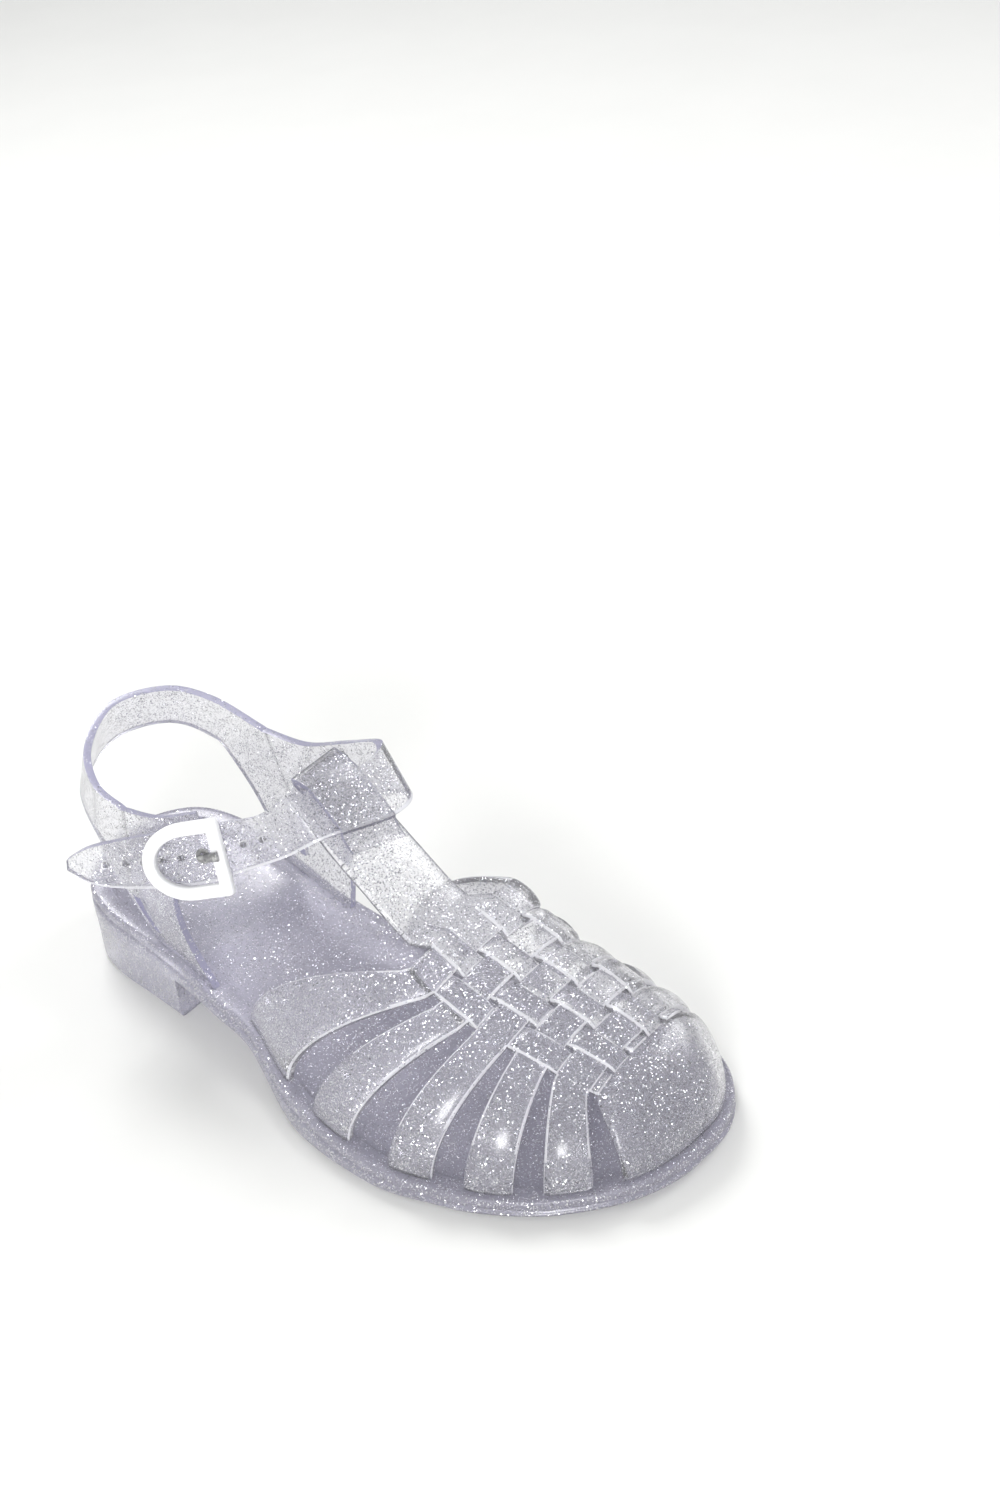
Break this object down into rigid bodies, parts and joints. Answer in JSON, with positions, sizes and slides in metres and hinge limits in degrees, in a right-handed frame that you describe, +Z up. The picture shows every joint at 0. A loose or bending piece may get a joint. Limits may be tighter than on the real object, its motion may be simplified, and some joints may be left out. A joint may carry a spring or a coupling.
{
  "type": "jelly sandal",
  "caption": "Clear glitter plastic sandal for the right foot: woven strip cage, T-strap, ankle strap with a fastened D buckle, open heel band and a low heel.",
  "frame": {"origin": "on the floor, under the middle of the shoe's bounding box", "axes": "-Y to the toe, +Y to the heel, -X the outer side of the foot, +X the inner side, +Z up"},
  "size_m": [0.1102, 0.2522, 0.1016],
  "materials": {
    "glitter_pvc": "clear, with fine silver glitter",
    "sole_pvc": "clear, faint violet, with fine silver glitter",
    "white_plastic": "gloss",
    "prong_metal": "satin"
  },
  "bodies": {
    "root": {"upper": "glitter_pvc", "sole": "sole_pvc", "buckle_frame": "white_plastic", "buckle_prong": "prong_metal", "eyelet": "prong_metal"}
  },
  "joints": []
}
